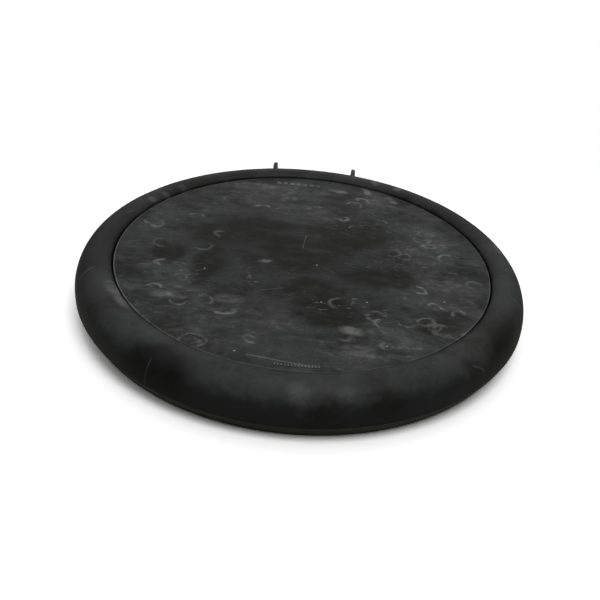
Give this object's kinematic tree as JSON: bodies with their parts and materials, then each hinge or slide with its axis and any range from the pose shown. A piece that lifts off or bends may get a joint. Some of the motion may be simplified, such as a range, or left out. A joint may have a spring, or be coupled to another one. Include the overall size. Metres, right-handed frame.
{
  "type": "practice pad",
  "caption": "Round rubber electronic practice pad with a sprung striking disc, raised rim, rear rod clamp, guard ears and output jack.",
  "frame": {"origin": "centre of the case's flat back, on the pad's axis", "axes": "+Z out of the striking face, +Y to the rear where the rod and the cable leave, +X to the right as the player sees it"},
  "size_m": [0.2148, 0.2444, 0.036],
  "materials": {
    "pad_rubber": "matte, chalky, with stick marks",
    "rim_rubber": "matte, moulded",
    "case_plastic": "fine moulded grain, slightly olive black",
    "frame_plastic": "moulded",
    "knob_plastic": "moulded",
    "jack_plastic": "moulded",
    "slider_plastic": "moulded",
    "connector_plastic": "moulded",
    "plate_steel": "zinc plated",
    "screw_steel": "plated",
    "zinc": "die cast, satin",
    "jack_metal": "nickel plated",
    "contact_metal": "spring strip",
    "brass": "plain",
    "ceramic": "silvered ceramic",
    "foam": "closed-cell foam",
    "film": "printed polyester film",
    "board": "solder-resist green",
    "wire": "insulated wire"
  },
  "bodies": {
    "case": {"rim_rubber": "rim_rubber", "cushion_ring": "foam", "rim_switch_top_film": "film", "rim_switch_spacer": "film", "rim_switch_base_film": "film", "rim_switch_tail": "film", "upper_frame": "frame_plastic", "bottom_case": "case_plastic", "case_screws": "screw_steel", "rod_sleeve": "zinc", "sleeve_screws": "screw_steel", "jack_body": "jack_plastic", "jack_bush": "jack_metal", "jack_washer": "jack_metal", "jack_nut": "jack_metal", "jack_tip_contact": "contact_metal", "jack_ring_contact": "contact_metal", "jack_sleeve_contact": "contact_metal", "polarity_switch_body": "jack_plastic", "terminal_board": "board", "board_screws": "screw_steel", "board_connectors": "connector_plastic", "wire_plugs": "connector_plastic", "piezo_wires": "wire", "rim_switch_wires": "wire", "switch_wires": "wire", "jack_wires": "wire"},
    "head": {"striking_pad": "pad_rubber", "head_plate": "plate_steel", "plate_washers": "plate_steel", "plate_screws": "screw_steel", "piezo_foam": "foam", "piezo_brass_disc": "brass", "piezo_ceramic": "ceramic"},
    "shoe": {"clamp_shoe": "brass"},
    "clamp_screw": {"clamp_stud": "screw_steel", "clamp_knob": "knob_plastic"},
    "slider": {"polarity_slider": "slider_plastic"}
  },
  "joints": [
    {"name": "head_travel", "type": "slide", "parent": "case", "child": "head", "axis": [0, 0, -1], "range_m": [0, 0.001], "stiffness_N_per_m": 40000, "springref_m": -0.0002, "deforming": ["cushion_ring"]},
    {"name": "clamp_slide", "type": "slide", "parent": "case", "child": "shoe", "axis": [1, 0, 0], "range_m": [-0.00125, 0.00035]},
    {"name": "clamp_turn", "type": "hinge", "parent": "shoe", "child": "clamp_screw", "pos_m": [-0.02, 0.116, -0.0029], "axis": [1, 0, 0], "range_deg": [-360, 100]},
    {"name": "polarity_slide", "type": "slide", "parent": "case", "child": "slider", "axis": [1, 0, 0], "range_m": [0, 0.002]}
  ],
  "couplings": [
    {"joint": "clamp_turn", "follows": "clamp_slide", "rad_per_m": 5026.5}
  ]
}
